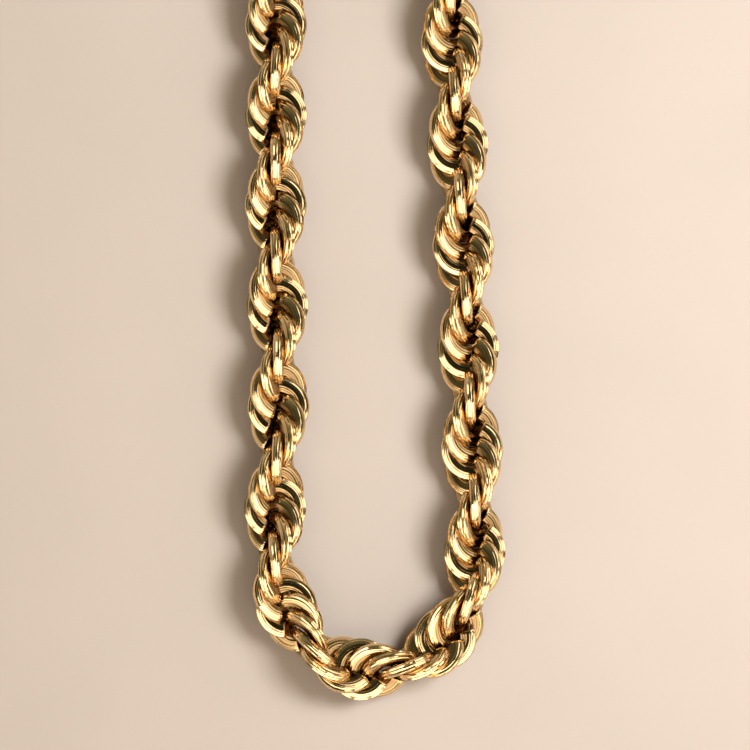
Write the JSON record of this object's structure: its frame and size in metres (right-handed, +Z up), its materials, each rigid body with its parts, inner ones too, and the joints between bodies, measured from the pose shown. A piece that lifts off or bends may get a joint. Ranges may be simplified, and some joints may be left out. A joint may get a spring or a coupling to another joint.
{
  "type": "rope chain necklace",
  "caption": "Thick gold rope chain of open round links nested in a twist, closed by jump rings and a trigger clasp, lying flat as a long loop.",
  "frame": {"origin": "on the surface the necklace lies on, under the middle of its bounding box", "axes": "+Y along the loop towards the clasp, +X from the left leg to the right leg, +Z up from the surface"},
  "size_m": [0.0422, 0.2158, 0.01],
  "materials": {
    "polished_gold": "polished",
    "clasp_gold": "polished"
  },
  "bodies": {
    "root": {"chain_left": "polished_gold", "chain_right": "polished_gold", "jump_ring_left": "clasp_gold", "jump_ring_right": "clasp_gold", "clasp": "clasp_gold"}
  },
  "joints": []
}
